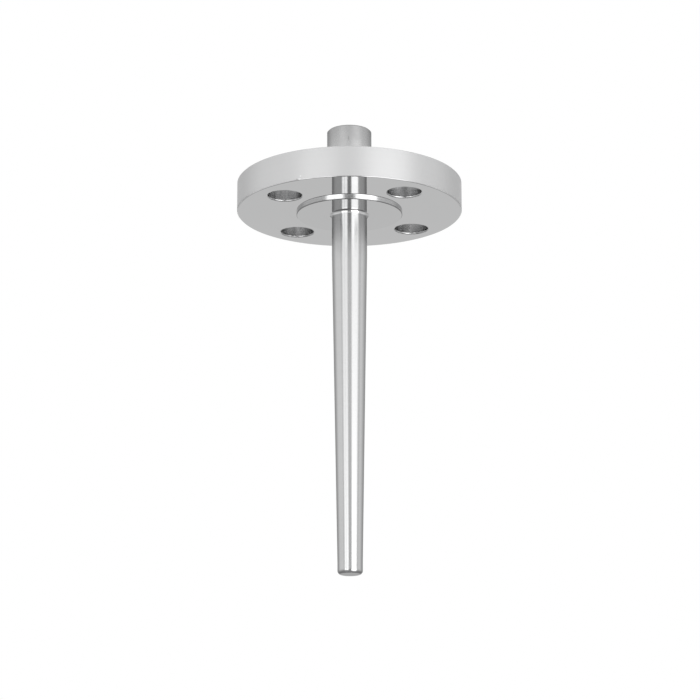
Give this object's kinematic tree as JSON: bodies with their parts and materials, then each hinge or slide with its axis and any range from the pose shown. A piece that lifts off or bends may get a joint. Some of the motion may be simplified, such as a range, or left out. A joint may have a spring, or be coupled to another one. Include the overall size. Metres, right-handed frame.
{
  "type": "thermowell",
  "caption": "Flanged thermowell: a tapered, gun-drilled bar-stock well welded into a raised-face pipe flange, with a threaded neck for a temperature sensor.",
  "frame": {"origin": "centre of the flange's raised sealing face, on the stem's axis", "axes": "+Z along the well's axis towards the threaded neck, so the stem points along -Z; +X and +Y are the flange's centrelines, which the bolt holes straddle"},
  "size_m": [0.155, 0.155, 0.3114],
  "materials": {
    "turned_bar": "fine turned stainless steel, polished on the stem and satin on the neck",
    "polished_flange": "stainless steel, mirror-turned faces and a fine-turned rim",
    "weld_bead": "brushed weld bead with a faint straw tint at its toes",
    "face_weld": "weld metal machined flush and polished with the sealing face"
  },
  "bodies": {
    "root": {"well": "turned_bar", "flange": "polished_flange", "neck_weld": "weld_bead", "face_weld": "face_weld"}
  },
  "joints": []
}
